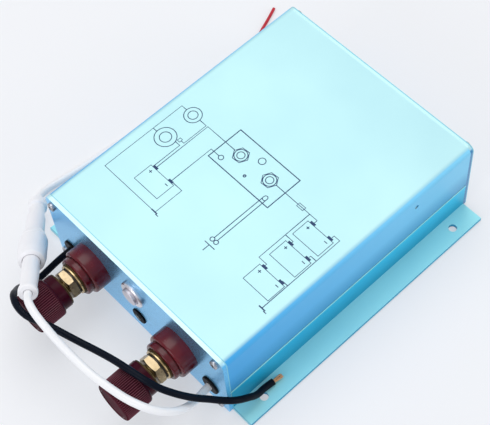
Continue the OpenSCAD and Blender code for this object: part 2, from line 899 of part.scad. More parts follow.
module black_core() {
  color("black") tube(black_core_route, core_d / 2, wire_sides);
}

module circuit_board() {
  color("darkgreen") translate([-board_w / 2, board_rear - board_l, board_z])
    cube([board_w, board_l, board_t]);
}

// Sizes of the blocks on the board
block_sizes = [[19, 15.4, 15.2], [19, 15.4, 15.2], [10, 6.4, 3.6]];
block_share_places = [[-0.28, 0.3], [-0.1, 0.3], [0.06, 0.55]];
capacitor_sizes = [[5, 12], [5, 12], [4, 9]];
capacitor_share_places = [[0.14, 0.5], [0.24, 0.5], [0.33, 0.5]];

module board_components() {
  color("dimgray") for (i = [0 : 2])
    translate([block_share_places[i].x * board_w, board_rear - board_l * (1 - block_share_places[i].y),
      board_top + pin_gap])
      cube(block_sizes[i]);
  color("midnightblue") for (i = [0 : 2])
    translate([capacitor_share_places[i].x * board_w,
      board_rear - board_l * (1 - capacitor_share_places[i].y), board_top + pin_gap])
      cylinder(r = capacitor_sizes[i][0], h = capacitor_sizes[i][1]);
}

yoke_front = bobbin_y - yoke_plate_t;
yoke_rear = board_front - relay_board_gap;
yoke_l = yoke_rear - yoke_front;
yoke_h = body_h - 2 * wall_t - yoke_room;
bobbin_l = yoke_rear - yoke_plate_t - bobbin_y;
bobbin_d = body_h - 2 * wall_t - 2 * coil_room;
yoke_floor = wall_t + foot_t;
foot_hole_x = foot_w / 2 - foot_hole_inset;
foot_hole_ys = [yoke_front + foot_hole_end, yoke_rear - foot_hole_end];
core_end = yoke_front + yoke_plate_t + core_l;
plunger_front = core_end + plunger_gap;

// Turns a piece's own Z to the rear, on the axis of the relay
module on_relay(y) {
  translate([0, y, relay_z]) rotate([-90, 0, 0]) children();
}

// Steel yoke: foot, two end plates and the fixed core
module relay_frame() {
  color("slategray") difference() {
    union() {
      translate([-foot_w / 2, yoke_front, wall_t]) cube([foot_w, yoke_l, foot_t]);
      for (y = [yoke_front, yoke_rear - yoke_plate_t])
        translate([-yoke_w / 2, y, wall_t]) cube([yoke_w, yoke_plate_t, yoke_h]);
      on_relay(yoke_front) cylinder(d = plunger_d, h = core_end - yoke_front);
    }
    on_relay(yoke_front - cut)
      cylinder(r = rod_r + rod_play, h = core_end - yoke_front + 2 * cut);
    on_relay(yoke_rear - yoke_plate_t - cut)
      cylinder(r = plunger_d / 2 + plunger_play, h = yoke_plate_t + 2 * cut);
    for (x = [-1, 1]) for (y = foot_hole_ys)
      translate([x * foot_hole_x, y, wall_t - cut])
        cylinder(r = foot_screw_r + seat, h = foot_t + 2 * cut);
  }
}

module relay_screws() {
  color("silver") for (x = [-1, 1]) for (y = foot_hole_ys)
    translate([x * foot_hole_x, y, yoke_floor]) {
      rounded_disc(foot_screw_head_r, foot_screw_head_h, screw_edge_r);
      translate([0, 0, -foot_t - wall_t / 2])
        cylinder(r = foot_screw_r - 2 * seat, h = foot_t + wall_t / 2 + foot_screw_head_h / 2);
    }
}

bobbin_bore_r = plunger_d / 2 + plunger_play;
bobbin_tube_r = bobbin_bore_r + bobbin_wall;

module coil_bobbin() {
  color("ivory") on_relay(bobbin_y) difference() {
    union() {
      cylinder(r = bobbin_tube_r, h = bobbin_l);
      for (d = [0, bobbin_l - flange_disc_t])
        translate([0, 0, d]) cylinder(d = bobbin_d, h = flange_disc_t);
    }
    translate([0, 0, -cut]) cylinder(r = bobbin_bore_r, h = bobbin_l + 2 * cut);
  }
}

module coil_winding() {
  winding_l = bobbin_l - 2 * flange_disc_t;
  color("chocolate") on_relay(bobbin_y + flange_disc_t)
    ring(bobbin_d / 2 - winding_inset, bobbin_tube_r, winding_l);
}

bridge_back = fixed_contact_y + contact_t + contact_gap + bridge_t;

// Armature: plunger, push rod and the collars that hold the contact bridge
module plunger() {
  plunger_l = yoke_rear + plunger_tail - plunger_front;
  rod_front = bridge_back - bridge_t - rod_nut_h;
  color("silver") {
    on_relay(plunger_front) difference() {
      cylinder(d = plunger_d, h = plunger_l);
      translate([0, 0, -cut]) cylinder(r = pocket_r, h = pocket_l + cut);
    }
    on_relay(rod_front)
      cylinder(r = rod_r, h = plunger_front + pocket_l - rod_front + rod_r);
    on_relay(bridge_back) cylinder(r = rod_collar_r, h = rod_collar_l);
    on_relay(rod_front) cylinder(r = rod_nut_af / 2 / cos(30), h = rod_nut_h, $fn = 6);
  }
}

module contact_bridge() {
  color("peru") difference() {
    union() {
      translate([-bridge_w / 2, bridge_back - bridge_t, relay_z - bridge_h / 2])
        cube([bridge_w, bridge_t, bridge_h]);
      for (side = [-1, 1]) translate([side * contact_x, bridge_back - bridge_t / 2, relay_z])
        rotate([90, 0, 0]) cylinder(r = contact_r, h = bridge_t / 2 + contact_t);
    }
    on_relay(bridge_back - bridge_t - cut)
      cylinder(r = rod_r + seat, h = bridge_t + 2 * cut);
  }
}

module return_spring() {
  color("silver") on_relay(core_end + spring_end_gap)
    spring(return_spring_r, return_spring_wire_d,
      plunger_gap + pocket_l - 2 * spring_end_gap, return_spring_turns);
}

// Bent copper bar from a terminal's stud to a fixed contact
module busbar(side) {
  leg_y = front_y + plate_t + insulator_t;
  outer_x = post_x + busbar_out;
  pad_y = fixed_contact_y - contact_t;
  bar_l = pad_y - leg_y;
  r = busbar_bend_r;
  color("peru") scale([side, 1, 1]) difference() {
    union() {
      translate([0, 0, post_z - busbar_w / 2]) linear_extrude(busbar_w) difference() {
        union() {
          translate([post_x - busbar_w / 2, leg_y])
            square([outer_x - r - post_x + busbar_w / 2, bar_l]);
          translate([post_x, leg_y + r]) square([outer_x - post_x, bar_l - 2 * r]);
          for (y = [leg_y + r, pad_y - r]) translate([outer_x - r, y]) circle(r);
          translate([busbar_inner_x, pad_y - busbar_t])
            square([post_x - busbar_inner_x, busbar_t]);
        }
        translate([post_x - busbar_w, leg_y + busbar_t])
          square([outer_x - busbar_t - post_x + busbar_w, bar_l - 2 * busbar_t]);
      }
      translate([contact_x, pad_y - busbar_t / 2, relay_z]) rotate([-90, 0, 0])
        cylinder(r = contact_r, h = busbar_t / 2 + contact_t);
    }
    translate([post_x, leg_y - cut, post_z]) rotate([-90, 0, 0])
      cylinder(r = stud_hole_r, h = busbar_t + 2 * cut);
  }
}

// Last stretch of a wire, over the front edge of the board and down to it
function onto_board(x) = [
  [x, board_front - wire_lead, board_top + wire_lift / 2],
  [x, board_front + wire_lead / 2, board_top + wire_lift],
  [x, board_front + 1.2 * wire_lead, board_top + inner_wire_d / 2 + wire_gap]];

// Wire from the front along the floor to the board
function floor_wire(start, tray_x) = concat(
  [start, start + [0, wire_lead, 0],
   [(start.x + 2 * tray_x) / 3, start.y + 2.5 * wire_lead, (start.z + 2 * tray_z) / 3],
   [tray_x, start.y + 5 * wire_lead, tray_z], [tray_x, -wire_lead, tray_z],
   [tray_x, board_front - 2.5 * wire_lead, tray_z]],
  onto_board(tray_x));

// Wire from the button's contacts over the side of the coil to the board
function button_wire(start) = concat(
  [start, start + [wire_lead / 2, wire_lead, wire_gap],
   [button_wire_x, start.y + 4 * wire_lead, body_h - button_wire_drop],
   [button_wire_x, 0, body_h - button_wire_drop],
   [button_wire_x, board_front - 3 * wire_lead, relay_z + wire_lead]],
  onto_board(button_wire_x));

// Wire from one side of the winding past the yoke to the board
function coil_wire(side) = let (x = bobbin_d / 2 - winding_inset + inner_wire_d / 2 + wire_gap)
  concat(
    [[side * x, coil_wire_y, relay_z],
     [side * (yoke_w / 2 + inner_wire_d), board_front - 1.5 * wire_lead, relay_z]],
    onto_board(side * (yoke_w / 2 + 2 * inner_wire_d)));

module inner_wiring() {
  grommet_back = front_y + plate_t + grommet_flange_t + inner_wire_d;
  lamp_back = front_y + lamp_barrel_l + wire_gap;
  button_back_y = front_y + button_body_l + block_l + blade_l + 2 * wire_gap;
  wires = [
    floor_wire([-grommet_x, grommet_back, grommet_z], -grommet_x),
    floor_wire([grommet_x - pair_pitch / 2, grommet_back, grommet_z], grommet_x - pair_pitch / 2),
    floor_wire([grommet_x + pair_pitch / 2, grommet_back, grommet_z], grommet_x + pair_pitch / 2),
    floor_wire([0, lamp_back, lamp_z], -lamp_tray_x),
    button_wire([0, button_back_y, button_z + blade_pitch / 2]),
    coil_wire(-1), coil_wire(1)];
  color("orange") for (wire = wires)
    tube(wire, inner_wire_d / 2, 6, up = [1, 0, 0]);
}

upper_shell();
lower_shell();
front_plate();
rear_plate();
front_plate_screws();
rear_plate_screws();
post_base(-post_x);  // left_post_base
post_base(post_x);  // right_post_base
rear_insulator(-post_x);  // left_rear_insulator
rear_insulator(post_x);  // right_rear_insulator
stud(-post_x);  // left_stud
stud(post_x);  // right_stud
thin_washer(-post_x);  // left_thin_washer
thin_washer(post_x);  // right_thin_washer
flat_washer(-post_x);  // left_flat_washer
flat_washer(post_x);  // right_flat_washer
lock_washer(-post_x);  // left_lock_washer
lock_washer(post_x);  // right_lock_washer
post_nut(-post_x);  // left_post_nut
post_nut(post_x);  // right_post_nut
back_nut(-post_x);  // left_back_nut
back_nut(post_x);  // right_back_nut
cap_washer(-post_x);  // left_cap_washer
cap_washer(post_x);  // right_cap_washer
cap(-post_x);  // left_cap
cap(post_x);  // right_cap
cap_insert(-post_x);  // left_cap_insert
cap_insert(post_x);  // right_cap_insert
button_housing();
button_cap();
button_nut();
button_spring();
button_switch_block();
lamp_holder();
lamp_lens();
lamp_nut();
grommet(-grommet_x, ground_d / 2 + seat);  // left_grommet
grommet(grommet_x, cable_d / 2 + seat);  // right_grommet
ground_wire();
ground_wire_end();
switch_cable_inner();
connector_socket();
connector_plug();
connector_ring();
switch_cable_outer();
red_core();
black_core();
circuit_board();
board_components();
relay_frame();
relay_screws();
coil_bobbin();
coil_winding();
plunger();
contact_bridge();
return_spring();
busbar(-1);  // left_busbar
busbar(1);  // right_busbar
inner_wiring();
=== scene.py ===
# Looks of the battery isolator relay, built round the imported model.
# The new pieces are worked out in millimetres and brought to metres as they are placed.
import json
import math
import bmesh
import bpy
from mathutils import Matrix, Vector


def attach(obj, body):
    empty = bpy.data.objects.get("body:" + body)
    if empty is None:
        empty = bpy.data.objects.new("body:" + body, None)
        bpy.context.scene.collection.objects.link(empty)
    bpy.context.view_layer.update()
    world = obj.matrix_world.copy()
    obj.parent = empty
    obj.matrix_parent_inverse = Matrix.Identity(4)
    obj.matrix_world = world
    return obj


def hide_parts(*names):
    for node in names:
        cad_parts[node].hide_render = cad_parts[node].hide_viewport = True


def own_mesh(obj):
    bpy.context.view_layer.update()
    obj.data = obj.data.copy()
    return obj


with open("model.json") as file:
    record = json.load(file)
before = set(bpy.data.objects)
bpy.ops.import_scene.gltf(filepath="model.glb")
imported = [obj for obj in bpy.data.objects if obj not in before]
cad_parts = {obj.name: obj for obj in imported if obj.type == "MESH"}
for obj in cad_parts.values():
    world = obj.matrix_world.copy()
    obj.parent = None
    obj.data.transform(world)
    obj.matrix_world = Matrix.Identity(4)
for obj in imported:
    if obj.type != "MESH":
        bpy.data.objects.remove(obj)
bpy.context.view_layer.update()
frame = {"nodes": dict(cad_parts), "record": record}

SCENE = bpy.context.scene
MM = 0.001

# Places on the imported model, in millimetres
PANEL_Y = -94.0
TOP_Z = 58.0
TERMINAL_X = {"left": -36.0, "right": 36.0}
TERMINAL_Z = 28.2
FLUTES_FROM = 31.2
BUTTON_Z = 40.0
MOUTH = Vector((-35.7, -136.8, 48.9))
TAIL = Vector((-101.6, -87.2, 8.0))
CONNECTOR_L = (TAIL - MOUTH).length

# Places that the finishes read, in metres
SPLIT = 0.022
SHELL_END = 0.0915
LINE_W = 0.0005
REAR_ARRIS_Y = SHELL_END + 0.0018
FOOT_FADE_H = 0.017


# Camera, fitted to the corners of the housing

PHOTO_W = 490
FOCAL_PX = 1349.6
HOUSING_W = 0.145
YAW, ELEVATION, ROLL = (math.radians(a) for a in (52.2565, 58.687, -6.1521))
AWAY, ASIDE, ABOVE = 4.8995, 0.4189, 0.2362
back = Vector((math.sin(YAW) * math.cos(ELEVATION), -math.cos(YAW) * math.cos(ELEVATION),
               math.sin(ELEVATION)))
level = Vector((math.cos(YAW), math.sin(YAW), 0))
upward = back.cross(level)
right = level * math.cos(ROLL) + upward * math.sin(ROLL)
up = upward * math.cos(ROLL) - level * math.sin(ROLL)
eye = (back * AWAY + right * ASIDE + up * ABOVE) * HOUSING_W + Vector((0, PANEL_Y, TOP_Z)) * MM

camera_data = bpy.data.cameras.new("camera")
camera_data.sensor_fit = "HORIZONTAL"
camera_data.sensor_width = 36
camera_data.lens = FOCAL_PX * camera_data.sensor_width / PHOTO_W
camera_data.clip_start = 0.01
camera_data.clip_end = 20
camera = bpy.data.objects.new("camera", camera_data)
SCENE.collection.objects.link(camera)
camera.matrix_world = Matrix.Translation(eye) @ Matrix((right, up, back)).transposed().to_4x4()
SCENE.camera = camera


# Materials

# Blue of the dark joint line at the front of the shells, and of the painted shade along the rear
# plate's arris.
JOINT_AND_SHADED_ARRIS_BLUE = (0.25, 0.62, 0.74)


class Socket:
    """An output of a node, which can be used in expressions."""

    def __init__(self, finish, socket):
        self.finish = finish
        self.socket = socket

    def maths(self, operation, first, second):
        return self.finish.node("ShaderNodeMath", {"operation": operation}, {0: first, 1: second})

    def __add__(self, other):
        return self.maths("ADD", self, other)

    def __radd__(self, other):
        return self.maths("ADD", other, self)

    def __sub__(self, other):
        return self.maths("SUBTRACT", self, other)

    def __rsub__(self, other):
        return self.maths("SUBTRACT", other, self)

    def __mul__(self, other):
        return self.maths("MULTIPLY", self, other)

    def __rmul__(self, other):
        return self.maths("MULTIPLY", other, self)

    def __pow__(self, other):
        return self.maths("POWER", self, other)

    def __gt__(self, other):
        return self.maths("GREATER_THAN", self, other)

    def __lt__(self, other):
        return self.maths("LESS_THAN", self, other)

    def __abs__(self):
        return self.maths("ABSOLUTE", self, 0)


class Finish:
    """A procedural material with one Principled shader."""

    def __init__(self, name, roughness=0.4, metallic=0.0, **constants):
        self.material = bpy.data.materials.new(name)
        self.material.use_nodes = True
        self.tree = self.material.node_tree
        self.tree.nodes.clear()
        self.shader = self.tree.nodes.new("ShaderNodeBsdfPrincipled")
        self.output = self.tree.nodes.new("ShaderNodeOutputMaterial")
        self.tree.links.new(self.shader.outputs[0], self.output.inputs[0])
        self.set("Roughness", roughness)
        self.set("Metallic", metallic)
        for key, value in constants.items():
            self.set(key.replace("_", " ").title().replace("Ior", "IOR"), value)
        coordinates = self.tree.nodes.new("ShaderNodeTexCoord")
        self.place = Socket(self, coordinates.outputs["Object"])

    def plug(self, socket, value):
        if isinstance(value, Socket):
            self.tree.links.new(value.socket, socket)
        elif isinstance(value, tuple) and len(value) < len(socket.default_value):
            socket.default_value = (*value, 1)
        else:
            socket.default_value = value

    def node(self, kind, settings=None, values=None, output=0):
        made = self.tree.nodes.new(kind)
        for key, value in (settings or {}).items():
            setattr(made, key, value)
        for key, value in (values or {}).items():
            self.plug(made.inputs[key], value)
        return Socket(self, made.outputs[output])

    def set(self, name, value):
        self.plug(self.shader.inputs[name], value)

    def noise(self, scale, detail=3, roughness=0.5):
        return self.node("ShaderNodeTexNoise", {}, {
            "Vector": self.place, "Scale": scale, "Detail": detail, "Roughness": roughness})

    def axis(self, letter):
        """Place along an axis of the part."""
        return self.node("ShaderNodeSeparateXYZ", {}, {0: self.place}, "XYZ".index(letter))

    def facing(self, letter):
        """Share of the surface's own direction along an axis of the part."""
        normal = self.node("ShaderNodeTexCoord", {}, {}, "Normal")
        return self.node("ShaderNodeSeparateXYZ", {}, {0: normal}, "XYZ".index(letter))

    def mix(self, factor, first, second):
        """Mix of two colours, whose sockets follow those for numbers and vectors."""
        return self.node("ShaderNodeMix", {"data_type": "RGBA"},
                         {0: factor, 6: first, 7: second}, 2)

    def span(self, value, low, high, to_low=0.0, to_high=1.0):
        """A value brought from one range to another, and held at its ends."""
        return self.node("ShaderNodeMapRange", {}, {
            0: value, 1: low, 2: high, 3: to_low, 4: to_high})

    def bump(self, height, strength, distance):
        self.set("Normal", self.node("ShaderNodeBump", {}, {
            "Strength": strength, "Distance": distance, "Height": height}))


def darker(colour, share):
    return tuple(c * share for c in colour)


def anodised(name, top, side, lit_far_side, foot, seam_z, painted_split_line):
    """Blue anodised extrusion with painted light: pale where it faces up, bluer on its flanks and
    brighter towards their rear ends, with painted shade at the foot of a flank, a split line of
    painted shade on the upper shell and a painted highlight on the lower, and a dark joint line at
    the front.
    """
    f = Finish(name, metallic=0.15, specular_ior_level=0.35)
    grain = f.noise(2400, 2)
    cloud = f.noise(16, 2, 0.5)
    # Painted light: each flank brightens from its front end to its rear end.
    flank = f.mix(f.span(f.axis("Y"), -0.09, 0.09), side, lit_far_side)
    # Painted shade: the flank darkens towards its foot.
    depth = f.span(f.axis("Z"), foot, foot + FOOT_FADE_H, 0.7, 0.0)
    flank = f.mix(depth, flank, darker(side, 0.62))
    # Painted light: pale where the surface faces up, the flank's blue where it faces sideways.
    colour = f.mix(f.span(f.facing("Z"), 0.78, 0.99), flank, top)
    shade = f.mix(0.12, colour, darker(side, 0.6))
    clouded = f.mix(f.span(cloud, 0.3, 0.75), colour, shade)
    edged = f.mix(f.axis("Y") < LINE_W - SHELL_END, clouded, JOINT_AND_SHADED_ARRIS_BLUE)
    # Painted split line: painted shade in the upper shell's groove, a painted highlight along the
    # lower shell's top edge.
    f.set("Base Color", f.mix(abs(f.axis("Z") - SPLIT - seam_z) < LINE_W, edged, painted_split_line))
    f.set("Roughness", f.span(grain, 0.3, 0.7, 0.36, 0.46))
    f.bump(grain, 0.06, 0.00003)
    return f.material


def plate_metal(name, front, top, side):
    """Satin anodised sheet, its face more of a mirror, with painted light on its edges: pale where
    they face up, bluer where they face sideways, and painted shade along its rear arris.
    """
    f = Finish(name)
    face = f.span(abs(f.facing("Y")), 0.6, 0.95)
    grain = f.noise(2600, 2)
    cloud = f.noise(32, 3)
    # Painted light: the edges are pale where they face up and bluer where they face sideways.
    edge = f.mix(f.span(f.facing("Z"), 0.5, 0.95), side, top)
    # Painted shade along the rear arris.
    edge = f.mix(f.axis("Y") > REAR_ARRIS_Y, edge, JOINT_AND_SHADED_ARRIS_BLUE)
    clouded = f.mix(f.span(cloud, 0.35, 0.7, 0, 0.35), front, darker(front, 0.86))
    f.set("Base Color", f.mix(face, edge, clouded))
    f.set("Metallic", face * 0.65 + 0.2)
    f.set("Roughness", f.span(grain, 0.3, 0.7, 0.25, 0.35))
    f.bump(grain, 0.1, 0.00003)
    return f.material


def phenolic(name, deep, red, pale, specular=0.42, ridge_highlight=None):
    """Dark red moulding compound with a faint mottle, and a painted highlight on the crests of a
    cap's flutes.
    """
    f = Finish(name, specular_ior_level=specular)
    mottle = f.noise(110, 2, 0.5)
    cloud = f.noise(40, 2)
    base = f.mix(f.span(mottle, 0.3, 0.7), deep, red)
    dull = 0.0
    colour = f.mix(f.span(cloud, 0.55, 0.8, 0, 0.6), base, pale)
    if ridge_highlight:
        across = abs(f.axis("X")) - TERMINAL_X["right"] * MM
        high = f.axis("Z") - TERMINAL_Z * MM
        radius = (across * across + high * high) ** 0.5
        flutes_y = (PANEL_Y - FLUTES_FROM) * MM
        fluted = f.span(f.axis("Y"), flutes_y, flutes_y - MM)
        # Painted highlight on the crests of the flutes.
        crest_highlight_mask = f.span(radius, 0.01172, 0.01204)
        colour = f.mix(crest_highlight_mask * fluted, colour, ridge_highlight)
        dull = f.span(abs(f.facing("Y")), 0.8, 0.98, 0.0, 0.4)
    f.set("Base Color", colour)
    f.set("Roughness", f.span(mottle, 0.3, 0.7, 0.19, 0.28) + dull)
    f.bump(mottle, 0.12, 0.00005)
    return f.material


def turned_metal(name, light, dark, roughness, scale=600.0):
    """Bare or plated metal with fine machining marks."""
    f = Finish(name, metallic=1.0)
    marks = f.noise(scale, 3, 0.6)
    stain = f.noise(90, 4, 0.6)
    f.set("Base Color", f.mix(f.span(stain, 0.4, 0.75), light, dark))
    f.set("Roughness", f.span(marks, 0.3, 0.7, roughness * 0.8, roughness * 1.3))
    f.bump(marks, 0.08, 0.00003)
    return f.material


def moulded(name, light, dark, roughness, grain=1500.0, coat=0.0, specular=0.5):
    """Moulded plastic or rubber with a fine grain and slight clouding."""
    f = Finish(name, coat_weight=coat, coat_roughness=0.2, specular_ior_level=specular)
    fine = f.noise(grain, 2)
    cloud = f.noise(45, 3)
    f.set("Base Color", f.mix(f.span(cloud, 0.35, 0.75), light, dark))
    f.set("Roughness", f.span(fine, 0.3, 0.7, roughness * 0.88, roughness * 1.15))
    f.bump(fine, 0.1, 0.00003)
    return f.material


def board_finish(name):
    """Solder mask with copper lines under it."""
    f = Finish(name, 0.35)
    flattened = f.node("ShaderNodeMapping", {}, {"Vector": f.place, "Scale": (1, 1, 0.2)})
    tracks = f.node("ShaderNodeTexVoronoi", {}, {"Vector": flattened, "Scale": 260})
    mask = f.span(tracks, 0.28, 0.34)
    f.set("Base Color", f.mix(mask, (0.02, 0.13, 0.05), (0.01, 0.08, 0.03)))
    f.bump(tracks, 0.1, 0.00003)
    return f.material


def winding_finish(name):
    """Enamelled wire, wound side by side along the coil."""
    f = Finish(name, 0.3, 0.8)
    turns = f.node("ShaderNodeTexWave", {"bands_direction": "Y"},
                   {"Vector": f.place, "Scale": 300})
    f.set("Base Color", f.mix(turns, (0.20, 0.06, 0.02), (0.48, 0.18, 0.07)))
    f.bump(turns, 0.6, 0.0003)
    return f.material


def lens_finish(name):
    """Dark lens of the lamp, with a cloudy green depth."""
    f = Finish(name, 0.08, specular_ior_level=0.25)
    depth = f.noise(500, 2)
    f.set("Base Color", f.mix(depth, (0.006, 0.016, 0.016), (0.014, 0.03, 0.024)))
    return f.material


SHEATH_BLACK = moulded("black_sheath", (0.002, 0.004, 0.01), (0.004, 0.007, 0.015), 0.36,
                       grain=900, specular=0.08)
# Paler ridge colour of the caps: a painted highlight on the crests of the flutes.
CAP_RED = phenolic("cap_phenolic", (0.035, 0.003, 0.009), (0.06, 0.005, 0.014),
                   (0.1, 0.014, 0.026), specular=0.07, ridge_highlight=(0.21, 0.07, 0.095))
INK = moulded("drawing_ink", (0.008, 0.04, 0.13), (0.01, 0.05, 0.15), 0.6)
DRUM_REDS = (0.08, 0.002, 0.007), (0.14, 0.004, 0.011), (0.2, 0.012, 0.02)

SLOTS = {
    # Split lines of the shells: painted shade on the upper shell, a painted highlight on the
    # lower.
    "case_upper": anodised("upper_anodised", top=(0.56, 0.9, 0.93), side=(0.05, 0.42, 0.86),
                           lit_far_side=(0.24, 0.7, 0.98), foot=SPLIT,
                           seam_z=LINE_W, painted_split_line=(0.01, 0.12, 0.28)),
    "case_lower": anodised("lower_anodised", top=(0.4, 0.91, 0.98), side=(0.006, 0.44, 0.74),
                           lit_far_side=(0.05, 0.66, 0.98), foot=0.004,
                           seam_z=-LINE_W, painted_split_line=(0.42, 0.95, 1.0)),
    "end_plates": plate_metal("plate_anodised", front=(0.22, 0.64, 1.0), top=(0.62, 0.94, 0.97),
                              side=(0.1, 0.5, 0.88)),
    # Copy of the plate finish with painted shade: darker sides and top on the rear plate.
    "rear_end_plate_shaded": plate_metal("rear_anodised_shaded", front=(0.22, 0.64, 1.0),
                                  top=(0.57, 0.91, 0.94), side=(0.04, 0.24, 0.5)),
    "plate_screws": turned_metal("screw_nickel", (0.55, 0.56, 0.6), (0.3, 0.3, 0.33), 0.26),
    "phenolic": phenolic("red_phenolic", *DRUM_REDS),
    "insulator": phenolic("red_insulator", *DRUM_REDS),
    # Brass darkened by about a third as painted shade, where the stud lies between nut and cap.
    "stud_brass": turned_metal("stud_brass", (0.47, 0.36, 0.18), (0.27, 0.2, 0.09), 0.3),
    # Brass of the cap washers darkened to near black: painted shade between nut and cap.
    "washer_dark": turned_metal("washer_painted_shade", (0.1, 0.065, 0.03), (0.04, 0.027, 0.012), 0.5),
    "washer_brass": turned_metal("washer_brass", (0.68, 0.51, 0.27), (0.38, 0.27, 0.12), 0.24),
    "spring_steel": turned_metal("spring_steel", (0.07, 0.06, 0.05), (0.03, 0.027, 0.024), 0.4),
    "nut_brass": turned_metal("nut_brass", (0.47, 0.37, 0.23), (0.33, 0.25, 0.14), 0.3),
    "button_chrome": turned_metal("bezel_chrome", (0.86, 0.83, 0.87), (0.76, 0.74, 0.78), 0.32),
    "button_face": turned_metal("button_satin", (0.76, 0.73, 0.78), (0.66, 0.63, 0.68), 0.42),
    "black_plastic": moulded("black_moulded", (0.003, 0.004, 0.007), (0.006, 0.007, 0.01), 0.5,
                             specular=0.05),
    "lamp_lens": lens_finish("lamp_lens"),
    "grommet_rubber": moulded("grommet_rubber", (0.004, 0.005, 0.008), (0.008, 0.009, 0.012), 0.5,
                              specular=0.15),
    "wire_black": SHEATH_BLACK,
    "copper_strands": turned_metal("strand_copper", (0.78, 0.42, 0.22), (0.5, 0.22, 0.1), 0.3),
    "cable_white": moulded("white_sheath", (0.95, 0.95, 0.96), (0.9, 0.9, 0.93), 0.34,
                           grain=900, coat=0.1),
    "connector_white": moulded("white_moulded", (0.95, 0.94, 0.96), (0.9, 0.89, 0.92), 0.38,
                               grain=1100, coat=0.1),
    "core_red": moulded("red_sheath", (0.62, 0.008, 0.03), (0.42, 0.004, 0.018), 0.34,
                        grain=900, coat=0.1),
    "board_green": board_finish("board_green"),
    "board_parts": moulded("board_parts", (0.03, 0.03, 0.035), (0.05, 0.05, 0.055), 0.4),
    "relay_steel": turned_metal("relay_zinc", (0.6, 0.61, 0.63), (0.4, 0.41, 0.43), 0.34),
    "bobbin_plastic": moulded("bobbin_plastic", (0.72, 0.68, 0.55), (0.64, 0.6, 0.47), 0.45),
    "winding_copper": winding_finish("coil_winding"),
    "busbar_copper": turned_metal("busbar_copper", (0.8, 0.42, 0.24), (0.5, 0.22, 0.11), 0.26),
    "wire_inner": moulded("inner_sheath", (0.6, 0.2, 0.03), (0.5, 0.15, 0.02), 0.4),
}
# The cap washers take a brass darkened as painted shade, and the rear plate a copy of the plate
# finish with painted shade.
OWN_FINISH = {"left_cap_washer": "washer_dark", "right_cap_washer": "washer_dark",
              "rear_plate": "rear_end_plate_shaded"}
NODE_SLOT = {row["node"]: row["material_slot"] for row in frame["record"]["subparts"]}
for name, node in frame["nodes"].items():
    node.data.materials.clear()
    node.data.materials.append(SLOTS[OWN_FINISH.get(name, NODE_SLOT[name])])


# Building the new pieces

def on_panel(x, z):
    """Place on the front panel, with the piece's own Z pointing out of the panel."""
    return Matrix.Translation((x, PANEL_Y, z)) @ Matrix.Rotation(math.pi / 2, 4, "X")


def along_connector():
    """Place on the connector, with the piece's own Z from its mouth to its tail."""
    turn = Vector((0, 0, 1)).rotation_difference(TAIL - MOUTH)
    return Matrix.Translation(MOUTH) @ turn.to_matrix().to_4x4()


def join_model(piece, body, replaced):
    """Puts a piece in the scene, on its body and in the place of the nodes it stands for."""
    SCENE.collection.objects.link(piece)
    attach(piece, body)
    if replaced:
        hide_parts(*replaced)
    return piece


def finish_piece(name, bm, place, material, body="housing", replaced=(), sharp=32):
    """Turns a bmesh in millimetres into a piece, with hard edges from an angle in degrees."""
    bmesh.ops.transform(bm, matrix=Matrix.Scale(MM, 4) @ place, verts=bm.verts)
    for face in bm.faces:
        face.smooth = True
    for edge in bm.edges:
        edge.smooth = edge.calc_face_angle(0) < math.radians(sharp)
    mesh = bpy.data.meshes.new(name)
    bm.to_mesh(mesh)
    bm.free()
    mesh.materials.append(material)
    return join_model(bpy.data.objects.new(name, mesh), body, replaced)


def rounded(corners, steps=5):
    """Profile through (radius, height) corners, each with an optional rounding."""
    points = []
    for i, corner in enumerate(corners):
        here = Vector(corner[:2])
        rounding = corner[2] if len(corner) > 2 else 0
        if not rounding or i in (0, len(corners) - 1):
            points.append(here)
            continue
        before = (Vector(corners[i - 1][:2]) - here).normalized()
        after = (Vector(corners[i + 1][:2]) - here).normalized()
        half = before.angle(after) / 2
        reach = rounding / math.tan(half)
        start, end = here + before * reach, here + after * reach
        for k in range(steps + 1):
            t = k / steps
            points.append(start * (1 - t) ** 2 + here * 2 * t * (1 - t) + end * t ** 2)
    return points


def turned(profile, segments=96, closed=False):
    """Turns a profile of (radius, height) points round Z."""
    bm = bmesh.new()
    verts = [bm.verts.new((p[0], 0, p[1])) for p in profile]
    pairs = list(zip(verts, verts[1:])) + ([(verts[-1], verts[0])] if closed else [])
    edges = [bm.edges.new(pair) for pair in pairs]
    bmesh.ops.spin(bm, geom=verts + edges, cent=(0, 0, 0), axis=(0, 0, 1), dvec=(0, 0, 0),
                   angle=math.tau, steps=segments, use_merge=True, use_duplicate=False)
    bmesh.ops.remove_doubles(bm, verts=bm.verts, dist=1e-5)
    bmesh.ops.recalc_face_normals(bm, faces=bm.faces)
    return bm


def close_ends(bm):
    """Fills the open rims of a shape, and turns its faces outwards."""
    bmesh.ops.holes_fill(bm, edges=[e for e in bm.edges if e.is_boundary], sides=0)
    bmesh.ops.recalc_face_normals(bm, faces=bm.faces)


def spline_piece(name, routes, radius, material, replaced, roundness=6):
    """Smooth round cords through routes of points in metres, on the housing."""
    data = bpy.data.curves.new(name, "CURVE")
    data.dimensions = "3D"
    data.resolution_u = 8
    data.bevel_depth = radius
    data.bevel_resolution = roundness
    data.use_fill_caps = True
    for route in routes:
        spline = data.splines.new("BEZIER")
        spline.bezier_points.add(len(route) - 1)
        for point, place in zip(spline.bezier_points, route):
            point.co = place
            point.handle_left_type = point.handle_right_type = "AUTO"
    data.materials.append(material)
    return join_model(bpy.data.objects.new(name, data), "housing", replaced)


def on_connector(along):
    """Point on the connector's axis, from its mouth."""
    return MOUTH + (TAIL - MOUTH) * (along / CONNECTOR_L)


def metres(points):
    """Route of points in millimetres, in metres."""
    return [Vector(p) * MM for p in points]


